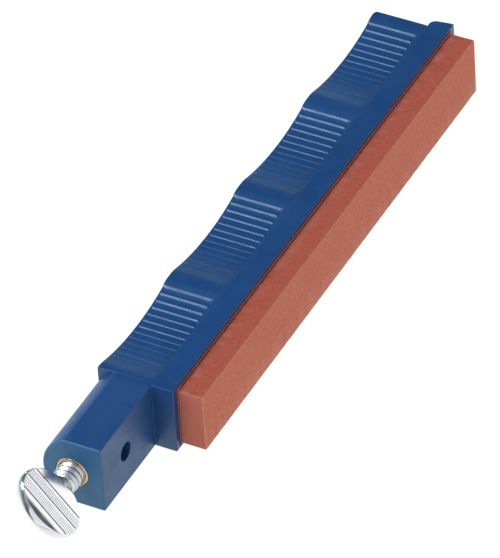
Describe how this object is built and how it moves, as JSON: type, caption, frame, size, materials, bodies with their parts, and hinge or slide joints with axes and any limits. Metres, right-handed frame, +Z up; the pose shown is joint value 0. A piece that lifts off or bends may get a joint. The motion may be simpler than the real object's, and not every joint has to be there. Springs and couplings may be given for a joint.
{
  "type": "rod-guided sharpening hone",
  "caption": "Hand-held honing guide: abrasive bar bonded to a finger-grooved plastic holder whose clamp block takes a bent guide rod, locked by a spade-head thumb screw.",
  "frame": {"origin": "centre of the base of the whole box, with the hone lying on its side and the thumb screw as it is left", "axes": "+X from the thumb screw to the far end of the stone, +Y from the stone's working face to the back of the grip, +Z up through the grip's width"},
  "size_m": [0.1352, 0.0198, 0.013],
  "materials": {
    "blue_plastic": "satin moulded",
    "abrasive": "fine bonded grit",
    "adhesive": "cured bond",
    "brass": "bright",
    "plated_steel": "bright nickel"
  },
  "bodies": {
    "hone": {"holder": "blue_plastic", "hone_stone": "abrasive", "stone_adhesive": "adhesive", "threaded_insert": "brass"},
    "screw_travel": {"screw_point": "plated_steel"},
    "screw_turn": {"thumb_screw": "plated_steel"}
  },
  "joints": [
    {"name": "thumb_screw_travel", "type": "slide", "parent": "hone", "child": "screw_travel", "axis": [1, 0, 0], "range_m": [-0.00265, 0.00265]},
    {"name": "thumb_screw_turn", "type": "hinge", "parent": "screw_travel", "child": "screw_turn", "pos_m": [-0.0578, 0.00445, 0.0065], "axis": [1, 0, 0], "range_deg": [-901, 901]}
  ],
  "couplings": [
    {"joint": "thumb_screw_turn", "follows": "thumb_screw_travel", "rad_per_m": 5936.9}
  ]
}
